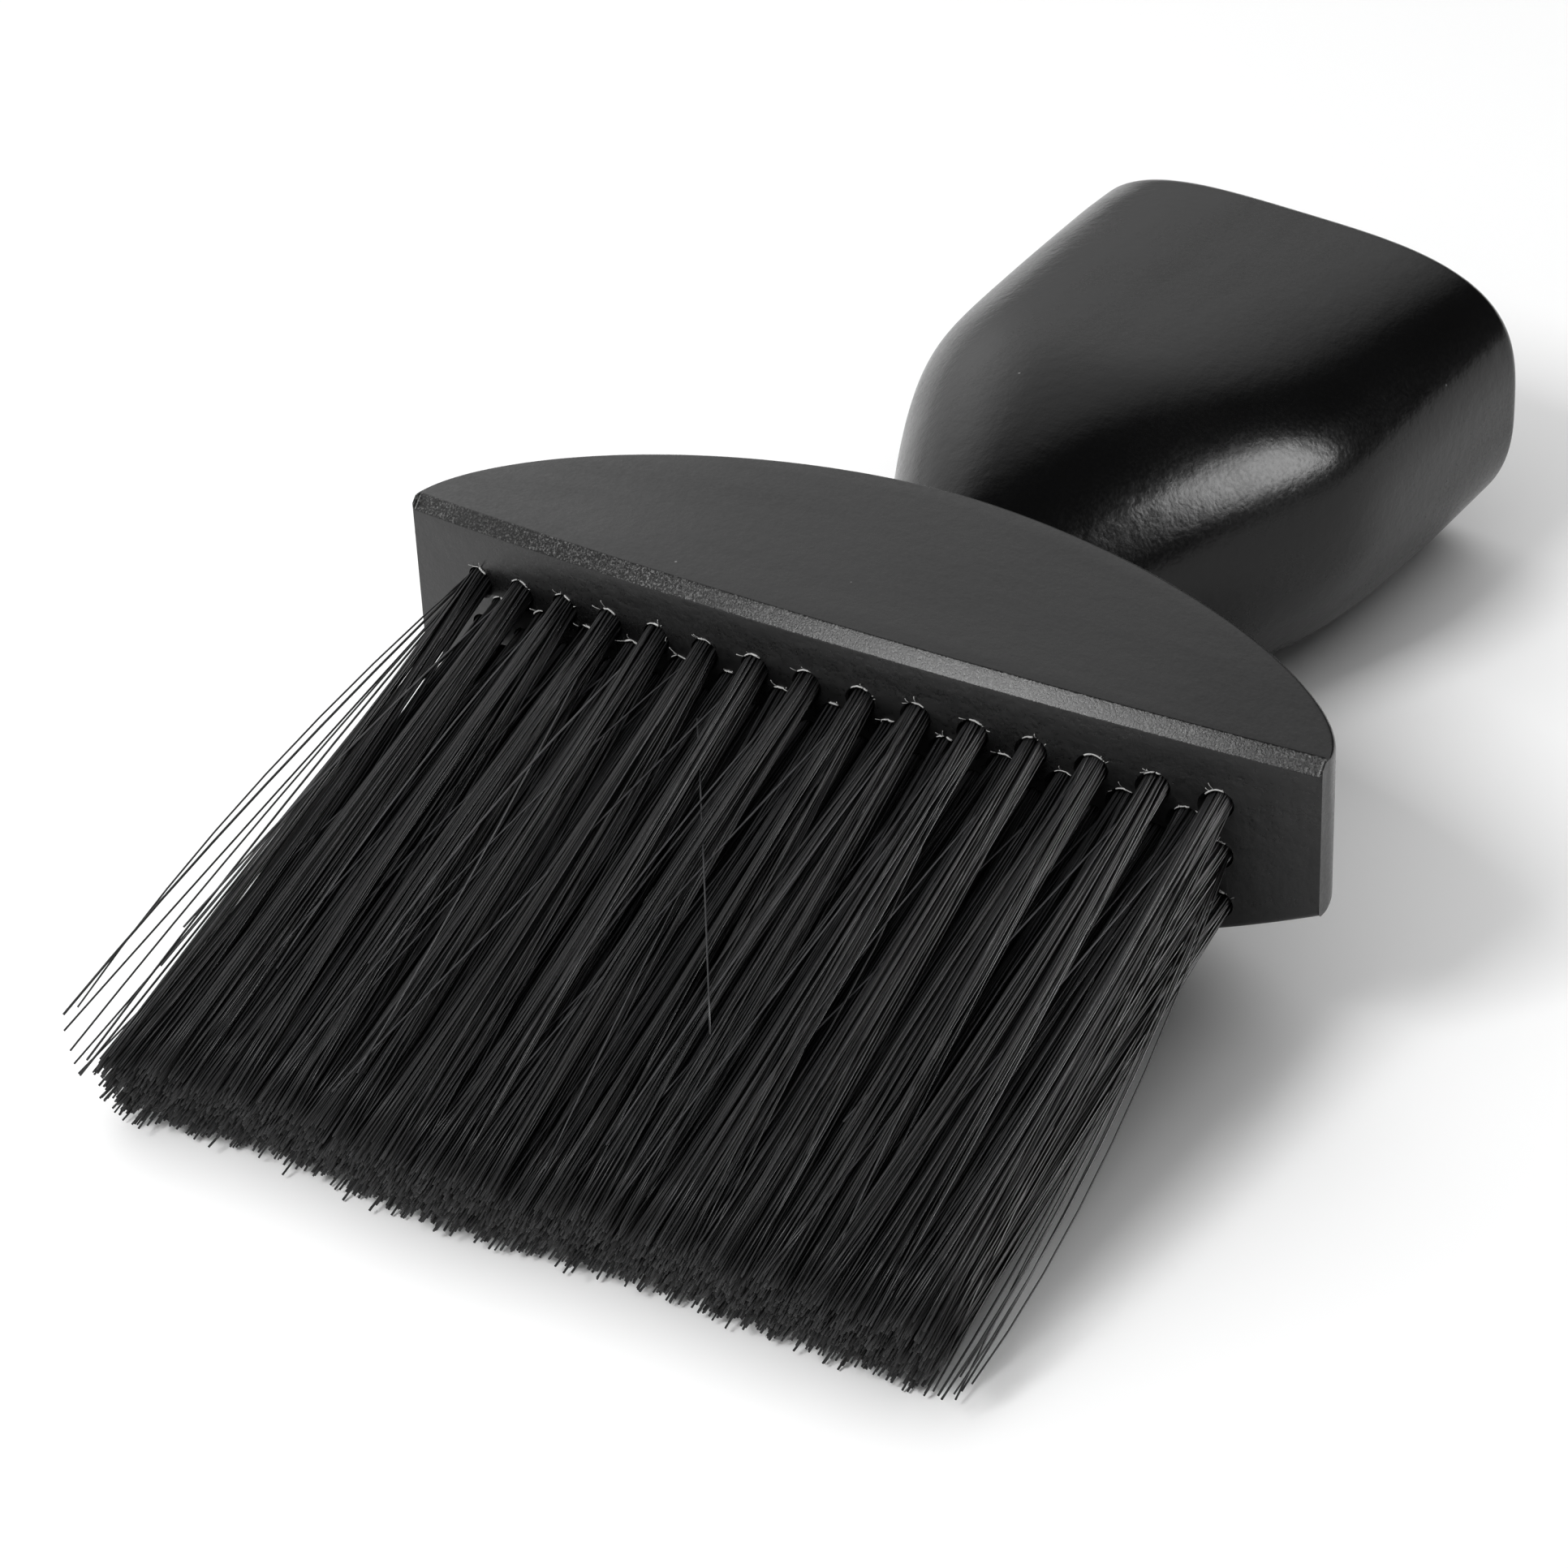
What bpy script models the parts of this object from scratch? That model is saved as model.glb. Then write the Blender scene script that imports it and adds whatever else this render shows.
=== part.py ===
"""Neck duster brush: a lacquered wooden head with rows of bristle tufts, and a chunky wooden handle.

Everything is modelled in the brush's own frame, in millimetres: X along the head, Y from the
bristles to the butt of the handle, Z up through the flat top of the head. A parent empty then
lays the brush down as it lies on a table, on the underside of its handle and its bristle tips.
"""

import math

import bmesh
import bpy
from mathutils import Matrix, Vector

MM = 0.001

# Attitude on the table
REST_TILT = math.radians(4.5)    # the nose of the brush is lifted by this much
UNDERSIDE_Y, UNDERSIDE_Z = 96.0, -18.6   # a point of the handle's underside, on the table

# Head: a board with a bowed front, an arched back and a lens-shaped front outline
HEAD_HALF_WIDTH = 53.2
FRONT_BULGE = 6.5
BACK_DEPTH = 20.0
BACK_POWER = 1.78
END_THICKNESS = 1.6
TOP_AT_ENDS, TOP_ARCH = 9.5, 3.7
TOP_RISE = 0.05                  # slope of the top towards the back
BOTTOM_AT_ENDS, BOTTOM_ARCH = -7.5, 10.4
TOP_CHAMFER, EDGE_CHAMFER = 1.7, 0.8
HEAD_STATIONS = 36

# Tufts: five staggered rows, drilled at a slant
PITCH = 6.2
ROW_STEP = 2.83
FIRST_ROW_Z = 2.0
ROW_ARCH = 3.9
TUFTS_IN_ROW = (15, 14, 15, 14, 15)
HOLE_RADIUS, HOLE_DEPTH = 1.55, 8.0
TUFT_SEAT = 0.3                  # gap under the folded end of a tuft
ROOT_RADIUS = 1.2
TIP_HALF_WIDTH, TIP_HALF_HEIGHT = 1.42, 2.3
TIP_Y, TIP_SKEW = -57.6, 0.045   # the cut runs a little askew along the head
TIP_SPREAD = 6.25                # distance between neighbouring tufts at the tips
TIP_DRIFT = -2.6                 # the bristles have taken a slight set to one side
TIP_FLOOR_CLEARANCE = 0.1
TIP_STEP, TIP_LEAN = 1.2, 0.3    # each row's tips are higher and further out than the next row's
TUFT_SIDES = 8

# Anchors: flat wires that the tufts are folded over
ANCHOR_ROWS = (1, 3)
ANCHOR_WIDTH, ANCHOR_HEIGHT, ANCHOR_THICKNESS = 2.3, 1.5, 0.4
ANCHOR_GAP = 0.25

# Handle: a block that swells quickly from its neck, with rounded sides and a flat, slightly skew butt
NECK_Y, HANDLE_END, BUTT_ROUND = 18.0, 96.6, 2.1
NECK_HALF_WIDTH, BODY_HALF_WIDTH, BUTT_HALF_WIDTH = 6.0, 27.7, 29.3
NECK_TOP, BODY_TOP, BUTT_TOP = 3.2, 17.5, 14.8
NECK_BELOW = 19.5                # height of the underside above the table at the neck
WIDTH_SHOULDER, TOP_SHOULDER = (40.8, 1.15), (33.5, 1.52)   # (length, power)
BELOW_ROUND = 56.0               # length over which the underside curves down to the table
SHOULDER_SOFTNESS, BODY_SOFTNESS = 0.02, 0.01
# How square the section is: (y, power) above and below its widest line
SQUARE_ABOVE = ((20.0, 1.8), (50.0, 2.46), (90.0, 3.44))
SQUARE_BELOW = ((20.0, 1.8), (80.0, 2.44))
SECTION_FLAT = 0.93              # share of the section's height where its underside goes flat
BUTT_SKEW, SKEW_FROM, SKEW_TO = 0.12, 60.0, 95.0
HANDLE_RINGS, BUTT_RINGS = 24, 4
RINGS_TO_NECK = 1.3              # above 1 the rings crowd towards the neck

# Dowel
DOWEL_RADIUS, DOWEL_FROM, DOWEL_TO, DOWEL_Z = 4.0, 9.0, 38.0, 0.0
ROD_CHAMFER = 0.6
JOINT_GAP = 0.3


def arch(x):
    """1 at the middle of the head, 0 at its ends."""
    return 1 - (x / HEAD_HALF_WIDTH) ** 2


def front_y(x):
    return -FRONT_BULGE * arch(x)


def back_y(x, grow=0.0):
    share = min(abs(x) / HEAD_HALF_WIDTH, 1.0)
    return END_THICKNESS + grow + BACK_DEPTH * (1 - share**BACK_POWER) ** (1 / BACK_POWER)


def top_z(x, y):
    return TOP_AT_ENDS + TOP_ARCH * arch(x) + TOP_RISE * y


def bottom_z(x):
    return BOTTOM_AT_ENDS - BOTTOM_ARCH * arch(x)


def material(name, colour, roughness, metallic=0.0):
    made = bpy.data.materials.new(name)
    made.use_nodes = True
    shader = made.node_tree.nodes["Principled BSDF"]
    shader.inputs["Base Color"].default_value = (*colour, 1)
    shader.inputs["Roughness"].default_value = roughness
    shader.inputs["Metallic"].default_value = metallic
    return made


def object_from(name, mesh, finish, parent):
    mesh.transform(Matrix.Scale(MM, 4))
    mesh.materials.append(finish)
    made = bpy.data.objects.new(name, mesh)
    bpy.context.scene.collection.objects.link(made)
    made.parent = parent
    return made


def loft(rings, name):
    """A closed mesh through rings of equally many points, with a flat cap at each end."""
    shape = bmesh.new()
    made = [[shape.verts.new(point) for point in ring] for ring in rings]
    for lower, upper in zip(made, made[1:]):
        for k in range(len(lower)):
            after = (k + 1) % len(lower)
            shape.faces.new((lower[k], lower[after], upper[after], upper[k]))
    shape.faces.new(made[0][::-1])
    shape.faces.new(made[-1])
    bmesh.ops.recalc_face_normals(shape, faces=shape.faces)
    mesh = bpy.data.meshes.new(name)
    shape.to_mesh(mesh)
    shape.free()
    return mesh


def hidden_cutter(name, mesh, parent):
    made = object_from(name, mesh, CUTTER_FINISH, parent)
    made.hide_render = True
    made.display_type = "WIRE"
    return made


def add_boolean(target, other, operation):
    step = target.modifiers.new(operation.title(), "BOOLEAN")
    step.operation = operation
    step.solver = "EXACT"
    step.object = other


def smooth(made, degrees=35):
    made.data.shade_smooth()
    made.data.set_sharp_from_angle(angle=math.radians(degrees))


def head_section(x, grow=0.0):
    """The head cut across at x, as points round the section."""
    front, back = front_y(x), back_y(x, grow)
    low = bottom_z(x)
    high_front, high_back = top_z(x, front), top_z(x, back)
    edge = min(EDGE_CHAMFER, 0.3 * (back - front))
    top_edge = min(TOP_CHAMFER, 0.45 * (back - front))
    return [
        (x, front + edge, low),
        (x, front, low + edge),
        (x, front, high_front - top_edge),
        (x, front + top_edge, high_front),
        (x, back - edge, high_back),
        (x, back, high_back - edge),
        (x, back, low + edge),
        (x, back - edge, low),
    ]


def head_mesh(name, grow=0.0):
    turn = [math.pi * (k / HEAD_STATIONS - 0.5) for k in range(HEAD_STATIONS + 1)]
    return loft([head_section(HEAD_HALF_WIDTH * math.sin(a), grow) for a in turn], name)


def tuft_places():
    """Yields (row, number, root, tip) for each tuft, row 0 at the top of the face."""
    lowest_row = len(TUFTS_IN_ROW) - 1
    for row, count in enumerate(TUFTS_IN_ROW):
        for number in range(count):
            place = number - (count - 1) / 2
            x = place * PITCH
            root = Vector((x, front_y(x), FIRST_ROW_Z - row * ROW_STEP + ROW_ARCH * arch(x)))
            tip_x = place * TIP_SPREAD + TIP_DRIFT
            tip_y = TIP_Y + TIP_SKEW * tip_x - TIP_LEAN * (lowest_row - row)
            above_floor = TIP_FLOOR_CLEARANCE + TIP_HALF_HEIGHT + TIP_STEP * (lowest_row - row)
            yield row, number, root, Vector((tip_x, tip_y, floor_z(tip_y) + above_floor))


def floor_z(y):
    """Height of the table at y, in the brush's own frame."""
    return UNDERSIDE_Z + (y - UNDERSIDE_Y) * math.tan(REST_TILT)


def ring_about(centre, half_width, half_height, sides=TUFT_SIDES):
    """Points of an upright oval round a point of a tuft."""
    turns = [2 * math.pi * (k + 0.5) / sides for k in range(sides)]
    return [
        (centre.x + half_width * math.cos(a), centre.y, centre.z + half_height * math.sin(a))
        for a in turns
    ]


def tuft_mesh(root, tip, name):
    """One tuft: narrow in its hole, spreading towards its cut tips."""
    along = (tip - root).normalized()
    inner = root - along * (HOLE_DEPTH - TUFT_SEAT)
    rings = [
        ring_about(inner, 0.7 * ROOT_RADIUS, 0.7 * ROOT_RADIUS),
        ring_about(inner + along * 0.6, ROOT_RADIUS, ROOT_RADIUS),
        ring_about(root, ROOT_RADIUS, ROOT_RADIUS),
        ring_about(root.lerp(tip, 0.55), 1.3, 1.6),
        ring_about(tip, TIP_HALF_WIDTH, TIP_HALF_HEIGHT),
    ]
    return loft(rings, name)


def hole_mesh(root, tip, name):
    along = (tip - root).normalized()
    ends = (root - along * HOLE_DEPTH, root + along * 3.0)
    return loft([ring_about(end, HOLE_RADIUS, HOLE_RADIUS) for end in ends], name)


def anchor_mesh(root, tip, name, gap=0.0, reach=0.0):
    """A flat wire across the inner end of a tuft; reach lengthens it into a slot cutter."""
    along = (tip - root).normalized()
    side = Vector((1, 0, 0))
    side = (side - along * side.dot(along)).normalized()
    flat = along.cross(side)
    inner = root - along * (HOLE_DEPTH - TUFT_SEAT)
    rings = []
    for depth in (-gap - reach, ANCHOR_HEIGHT + gap):
        middle = inner + along * depth
        wide = side * (ANCHOR_WIDTH / 2 + gap + reach)
        thick = flat * (ANCHOR_THICKNESS / 2 + gap)
        upper = [middle + wide + thick, middle - wide + thick]
        rings.append(upper + [middle - wide - thick, middle + wide - thick])
    return loft(rings, name)


def joined(meshes, name):
    """One mesh holding several shapes that don't touch, for use as a cutter."""
    shape = bmesh.new()
    for mesh in meshes:
        shape.from_mesh(mesh)
        bpy.data.meshes.remove(mesh)
    made = bpy.data.meshes.new(name)
    shape.to_mesh(made)
    shape.free()
    return made


def still_to_rise(y, length):
    """1 at the neck, about 0 from length on, with a soft end."""
    left = 1 - (y - NECK_Y) / length
    return min(1.0, (left + math.sqrt(left**2 + SHOULDER_SOFTNESS)) / 2)


def rise(y, length, power):
    """0 at the neck, about 1 from length on, with a rounded shoulder between them."""
    return (1 - still_to_rise(y, length) ** power) ** (1 / power)


def body_line(y, length, body, butt):
    """From the value at the shoulder to the value at the butt, in a straight line with a soft start."""
    start = NECK_Y + 0.6 * length
    share = (y - start) / (UNDERSIDE_Y - start)
    return body + (butt - body) * (share + math.sqrt(share**2 + BODY_SOFTNESS)) / 2


def handle_section(y):
    """(half width, top, bottom) of the handle at y."""
    wide = body_line(y, WIDTH_SHOULDER[0], BODY_HALF_WIDTH, BUTT_HALF_WIDTH)
    half_width = NECK_HALF_WIDTH + (wide - NECK_HALF_WIDTH) * rise(y, *WIDTH_SHOULDER)
    high = body_line(y, TOP_SHOULDER[0], BODY_TOP, BUTT_TOP)
    top = NECK_TOP + (high - NECK_TOP) * rise(y, *TOP_SHOULDER)
    left = max(0.0, 1 - (y - NECK_Y) / BELOW_ROUND)
    return half_width, top, floor_z(y) + NECK_BELOW * (1 - math.sqrt(1 - left**2))


def between(steps, y):
    """The value at y, in straight lines between the (y, value) steps."""
    for (low, first), (high, second) in zip(steps, steps[1:]):
        if y < high:
            return first + (second - first) * max(0.0, (y - low) / (high - low))
    return steps[-1][1]


def handle_ring(y, inset, sides=32):
    half_width, top, bottom = handle_section(y)
    half_height, middle = (top - bottom) / 2, (top + bottom) / 2
    skew = BUTT_SKEW * max(0.0, min(1.0, (y - SKEW_FROM) / (SKEW_TO - SKEW_FROM))) ** 2
    above, below = 2 / between(SQUARE_ABOVE, y), 2 / between(SQUARE_BELOW, y)
    points = []
    for k in range(sides):
        a = 2 * math.pi * (k + 0.5) / sides
        c, s = math.cos(a), math.sin(a)
        power = above if s > 0 else below
        x = math.copysign(abs(c) ** power, c) * (half_width - inset)
        level = abs(s) ** power if s > 0 else -min(1, abs(s) ** power / SECTION_FLAT)
        points.append((x, y - skew * x, middle + level * (half_height - inset)))
    return points


def handle_rings():
    length = HANDLE_END - BUTT_ROUND - NECK_Y
    shares = [(k / HANDLE_RINGS) ** RINGS_TO_NECK for k in range(HANDLE_RINGS + 1)]
    rings = [handle_ring(NECK_Y + length * share, 0.0) for share in shares]
    for k in range(1, BUTT_RINGS + 1):
        a = math.pi / 2 * k / BUTT_RINGS
        y = HANDLE_END - BUTT_ROUND * (1 - math.sin(a))
        rings.append(handle_ring(y, BUTT_ROUND * (1 - math.cos(a))))
    return rings


def rod_mesh(name, grow=0.0, sides=20):
    """The dowel, or grown all round, its socket."""
    start, end, radius = DOWEL_FROM - grow, DOWEL_TO + grow, DOWEL_RADIUS + grow
    rounded = radius - ROD_CHAMFER
    profile = [(start, rounded), (start + ROD_CHAMFER, radius)]
    profile += [(end - ROD_CHAMFER, radius), (end, rounded)]
    return loft([ring_about(Vector((0, y, DOWEL_Z)), r, r, sides) for y, r in profile], name)


def build():
    lacquer = material("black_lacquer", (0.012, 0.012, 0.013), 0.32)
    bristle = material("black_bristle", (0.01, 0.01, 0.011), 0.45)
    beech = material("beech_dowel", (0.55, 0.38, 0.22), 0.6)
    steel = material("anchor_steel", (0.55, 0.55, 0.56), 0.35, 1.0)

    rest = bpy.data.objects.new("rest_attitude", None)
    bpy.context.scene.collection.objects.link(rest)
    rest.rotation_euler.x = -REST_TILT
    rest.location = MM * Vector((0, *rest_offset()))

    places = list(tuft_places())

    head = object_from("head_block", head_mesh("head_block"), lacquer, rest)
    holes = joined([hole_mesh(root, tip, "hole") for _, _, root, tip in places], "tuft_holes")
    add_boolean(head, hidden_cutter("tuft_holes", holes, rest), "DIFFERENCE")
    bore = rod_mesh("dowel_socket", JOINT_GAP)
    socket = hidden_cutter("dowel_socket", bore, rest)
    add_boolean(head, socket, "DIFFERENCE")
    smooth(head)

    handle = object_from("handle", loft(handle_rings(), "handle"), lacquer, rest)
    add_boolean(handle, hidden_cutter("head_seat", head_mesh("head_seat", JOINT_GAP), rest), "DIFFERENCE")
    add_boolean(handle, socket, "DIFFERENCE")
    smooth(handle)

    dowel = object_from("neck_dowel", rod_mesh("neck_dowel"), beech, rest)
    smooth(dowel)

    for stagger, word in ((0, "long"), (1, "short")):
        count = TUFTS_IN_ROW[stagger]
        for number in range(count):
            column = [place for place in places if place[0] % 2 == stagger and place[1] == number]
            add_column(f"tufts_{word}_{number + 1:02d}", column, bristle, rest)
    for row, number, root, tip in places:
        if row in ANCHOR_ROWS:
            name = f"anchor_row{row + 1}_{number + 1:02d}"
            object_from(name, anchor_mesh(root, tip, name), steel, rest)


def add_column(name, column, finish, parent):
    """The tufts one above another in a column, which run into each other at their tips."""
    made = object_from(name, tuft_mesh(*column[0][2:], name), finish, parent)
    for row, _, root, tip in column[1:]:
        other = hidden_cutter(f"{name}_row{row + 1}", tuft_mesh(root, tip, name), parent)
        add_boolean(made, other, "UNION")
    for row, _, root, tip in column:
        if row in ANCHOR_ROWS:
            slot = anchor_mesh(root, tip, "slot", ANCHOR_GAP, 1.0)
            add_boolean(made, hidden_cutter(f"{name}_slot{row + 1}", slot, parent), "DIFFERENCE")
    smooth(made)


def tilted_y(y, z):
    return y * math.cos(REST_TILT) + z * math.sin(REST_TILT)


def rest_offset():
    """(y, z) that puts the tilted brush on the table with its middle over the origin."""
    tips = [ring_about(tip, TIP_HALF_WIDTH, TIP_HALF_HEIGHT) for *_, tip in tuft_places()]
    nose = min(tilted_y(y, z) for ring in tips for _, y, z in ring)
    butt = max(tilted_y(y, z) for ring in handle_rings()[-BUTT_RINGS:] for _, y, z in ring)
    return -(nose + butt) / 2, -floor_z(0.0) * math.cos(REST_TILT)


for old in list(bpy.data.objects):
    bpy.data.objects.remove(old, do_unlink=True)
CUTTER_FINISH = material("cutter", (0.8, 0.2, 0.2), 0.5)
build()
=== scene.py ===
"""Looks of the neck duster brush: fine wooden head and handle, and bristles made strand by strand.

Shapes are worked out in the brush's own frame, in millimetres: X along the head, Y from the bristles
to the butt of the handle, Z up through the top of the head. to_world() lays them where the frame has
the brush.
"""

import math

import bmesh
import bpy
import numpy as np
from mathutils import Matrix, Vector


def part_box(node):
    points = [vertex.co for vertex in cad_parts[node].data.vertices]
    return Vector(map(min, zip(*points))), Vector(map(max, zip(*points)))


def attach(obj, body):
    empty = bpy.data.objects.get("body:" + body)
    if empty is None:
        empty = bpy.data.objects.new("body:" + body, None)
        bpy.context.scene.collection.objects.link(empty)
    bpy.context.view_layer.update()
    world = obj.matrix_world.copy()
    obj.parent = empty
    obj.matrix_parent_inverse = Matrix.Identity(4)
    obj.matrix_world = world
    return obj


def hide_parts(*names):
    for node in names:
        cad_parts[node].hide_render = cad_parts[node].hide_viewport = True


MM = 0.001

# Attitude on the table, as in the CAD
REST_TILT = math.radians(4.5)
UNDERSIDE_Y, UNDERSIDE_Z = 96.0, -18.6
DOWEL_MIDDLE_Y = 23.5

# Head
HEAD_HALF_WIDTH = 53.2
FRONT_BULGE = 6.5
BACK_DEPTH, BACK_POWER = 20.0, 1.78
END_THICKNESS = 1.6
TOP_AT_ENDS, TOP_ARCH, TOP_RISE = 9.5, 3.7, 0.05
BOTTOM_AT_ENDS, BOTTOM_ARCH = -7.5, 10.4
TOP_CHAMFER = 1.35               # 0.35 less than in the CAD
EDGE_RADIUS = 0.8
CHAMFER_RADIUS = 0.3
ARC_STEPS, CHAMFER_SPANS = 4, 3
HEAD_STATIONS = 170
HEAD_VISUAL_GAP = 0.08           # hairline between the head and the handle
SHARP_ANGLE = math.radians(32)

# Tufts
PITCH, ROW_STEP, FIRST_ROW_Z, ROW_ARCH = 6.2, 2.83, 2.0, 3.9
TUFTS_IN_ROW = (15, 14, 15, 14, 15)
HOLE_RADIUS, HOLE_DEPTH, HOLE_SIDES = 1.55, 8.0, 24
COUNTERSINK = 0.5
TIP_Y, TIP_SKEW = -57.6, 0.045
TIP_SPREAD, TIP_DRIFT = 6.25, -2.6
TIP_CENTRE_HEIGHT = 2.4          # of the lowest row's tips, above the table
TIP_STEP, TIP_LEAN = 1.2, 0.3

# Trimmed ends, which aren't quite straight along the head
CUT_WAVE, CUT_WAVE_PEAK, CUT_WAVE_LENGTH = -0.8, -9.0, 7.2
CUT_WAVE_FADE = ((-40, 1), (0, 1), (20, 0.3))

# Strands
STRANDS_IN_ROW = (96, 60, 84, 60, 84)
STRAND_RADIUS = 0.11
STRAND_SIDES = 4
ROOT_SPREAD = 1.28
TIP_REACH_X, TIP_REACH_Z = 3.15, 2.0
STRAND_DEPTH = 5.6               # how far a strand reaches into its hole
CROSSING_PER_COLUMN = 1
# The first slot after the plain strands' 0 is for the strands on top, painted lighter for the light they
# catch.
PAINTED_LIGHT_SLOT, CUT_END_SLOT = 1, 2   # material slots of a tuft, after the plain strands' 0
STEPS = (0.0, 0.1, 0.24, 0.4, 0.56, 0.72, 0.87, 1.0)
FLOOR_CLEARANCE = 0.12

# How strands stray from an even fan, as spreads (along the head, up)
CLUMPS_PER_TUFT, CLUMP_RANGE = 8, 0.8
CLUMP_SHIFT, CLUMP_BOW = (0.5, 0.3), (0.55, 0.35)
STRAND_SHIFT, STRAND_BOW = (0.32, 0.22), (0.26, 0.16)
WILD_SHARE, WILD_SHIFT, WILD_LIMITS, WILD_BOW = 0.1, 3.2, (-6, 2.5), 0.6
LENGTH_SPREAD, LONG_SHARE, LONG_EXTRA = 0.006, 0.05, 0.022
FAN_POWER, GATHER = 1.15, 0.75

# Long loose strands at the ends of the head: (tip, bulge outward) and for the left ones a lift
LEFT_STRAYS = (
    ((-57.7, -56.1, -23.6), 1.1, 0.8),
    ((-57.1, -54.6, -23.4), 1.9, 1.4),
    ((-56.2, -57.8, -24.0), 0.4, 0.4),
    ((-53.6, -59.9, -24.2), 0.1, 1.3),
    ((-52.2, -61.0, -24.6), -0.4, 0.3),
    ((-50.8, -60.6, -23.9), 0.4, 1.0),
    ((-50.0, -62.6, -24.2), -0.2, 0.6),
)
RIGHT_STRAYS = (
    ((46.4, -57.9, -27.6), 2.2),
    ((47.1, -56.9, -27.4), 2.5),
    ((47.6, -56.4, -27.2), 2.0),
    ((48.0, -55.3, -27.0), 2.8),
    ((45.6, -57.2, -28.0), 1.6),
    ((46.9, -55.5, -26.5), 1.9),
)
RIGHT_STRAY_LIFT = 0.6
STRAY_START = np.array((0.6, 3.0, 1.4))
FALLEN_STRAND = ((-9.6, -11.8, 2.0), (1.2, -27.0, -4.2), (11.0, -41.0, -10.8))
FALLEN_ON = "tufts_long_06"

# Rims of the drilled holes
RIM_STRETCH = 1.13               # the slanted holes meet the face in ovals this much taller than wide
RIM_SEED = 7
CHIPS_PER_HOLE, FIBRES_PER_HOLE = 3, 3

# Handle
NECK_Y, HANDLE_END, BUTT_ROUND = 18.0, 96.6, 2.1
NECK_HALF_WIDTH, BODY_HALF_WIDTH, BUTT_HALF_WIDTH = 6.0, 27.7, 29.3
NECK_TOP, BODY_TOP, BUTT_TOP = 3.2, 17.5, 14.8
NECK_BELOW = 19.5                # height of the underside above the table at the neck
WIDTH_SHOULDER, TOP_SHOULDER = (40.8, 1.15), (33.5, 1.52)   # (length, power)
BELOW_ROUND = 56.0
BODY_START = 0.6                 # share of the shoulder's length
SHOULDER_SOFTNESS, BODY_SOFTNESS = 0.02, 0.01
# How square the section is: (y, power) above and below its widest line
SQUARE_ABOVE = ((20.0, 1.8), (50.0, 2.46), (90.0, 3.44))
SQUARE_BELOW = ((20.0, 1.8), (80.0, 2.44))
SECTION_FLAT = 0.93
BUTT_SKEW, SKEW_FROM, SKEW_TO = 0.12, 60.0, 95.0
HANDLE_SIDES, HANDLE_STEPS, BUTT_STEPS = 176, 120, 10
HANDLE_STEP_POWER = 1.4          # rings lie closer together towards the neck

HEAD_IOR, HANDLE_IOR, BRISTLE_IOR, CUT_END_IOR = 1.48, 1.31, 1.45, 1.3

# Floor, in metres
FLOOR_HALF_WIDTH = 3.0
FLOOR_DROP = -0.00015            # just below the lowest point of the brush

# Light around: (direction, full within, none beyond, light added there)
WORLD_BASE = 0.06
WORLD_PATCHES = (
    ((-0.50, 0.66, 0.56), 10, 38, 1.02),
    ((-0.97, 0.20, 0.22), 8, 42, 1.35),
    ((-0.2, -0.9, 0.3), 20, 60, 0.7),
)

# (name, direction from the brush, distance in metres, width, height, power in watts, lights surfaces,
# shows in reflections)
SOFTBOXES = (
    ("key_right", (0.90, 0.25, 0.47), 0.9, 0.36, 0.44, 8.8, False, True),
    ("front_left", (-0.24, -0.62, 0.74), 1.0, 0.36, 0.30, 5.6, True, True),
    ("overhead_fill", (0.0, 0.1, 1.0), 1.6, 3.0, 3.0, 25.0, True, False),
)
LIGHTS_TARGET = (0, 20, 0)       # in the brush's own frame

# Camera: its target in the brush's own frame, its angles in degrees from the world's axes
CAMERA_TARGET = (-2.99, -6.88, -6.25)
CAMERA_AZIMUTH, CAMERA_ELEVATION, CAMERA_ROLL = 36.64, 35.89, -5.94
CAMERA_DISTANCE, CAMERA_LENS = 0.4543, 104.75
CAMERA_SENSOR, CAMERA_CLIP = 36.0, 0.01


# ---------------------------------------------------------------- placing

def brush_matrix():
    """From the brush's own frame in millimetres to the world, by the dowel that lies on its axis."""
    turn = Matrix.Rotation(-REST_TILT, 4, "X")
    low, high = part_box("neck_dowel")
    middle = (Vector(low) + Vector(high)) / 2
    offset = middle - turn @ Vector((0, DOWEL_MIDDLE_Y * MM, 0))
    return Matrix.Translation(offset) @ turn @ Matrix.Scale(MM, 4)


def to_world(points):
    """An array of brush-frame points in millimetres as world points in metres."""
    matrix = np.array(BRUSH)
    return np.asarray(points, float) @ matrix[:3, :3].T + matrix[:3, 3]


def piece_from(name, mesh, finishes, nodes):
    """Links a mesh as a piece that rides on the root and stands for these CAD nodes."""
    for finish in finishes:
        mesh.materials.append(finish)
    made = bpy.data.objects.new(name, mesh)
    bpy.context.scene.collection.objects.link(made)
    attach(made, "root")
    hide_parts(*nodes)


# ---------------------------------------------------------------- shapes of the brush

def arch(x):
    return 1 - (x / HEAD_HALF_WIDTH) ** 2


def front_y(x):
    return -FRONT_BULGE * arch(x)


def back_y(x, grow=0.0):
    share = min(abs(x) / HEAD_HALF_WIDTH, 1.0)
    return END_THICKNESS + grow + BACK_DEPTH * (1 - share**BACK_POWER) ** (1 / BACK_POWER)


def top_z(x, y):
    return TOP_AT_ENDS + TOP_ARCH * arch(x) + TOP_RISE * y


def bottom_z(x):
    return BOTTOM_AT_ENDS - BOTTOM_ARCH * arch(x)


def floor_z(y):
    """Height of the table at y, in the brush's own frame."""
    return UNDERSIDE_Z + (y - UNDERSIDE_Y) * math.tan(REST_TILT)


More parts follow.
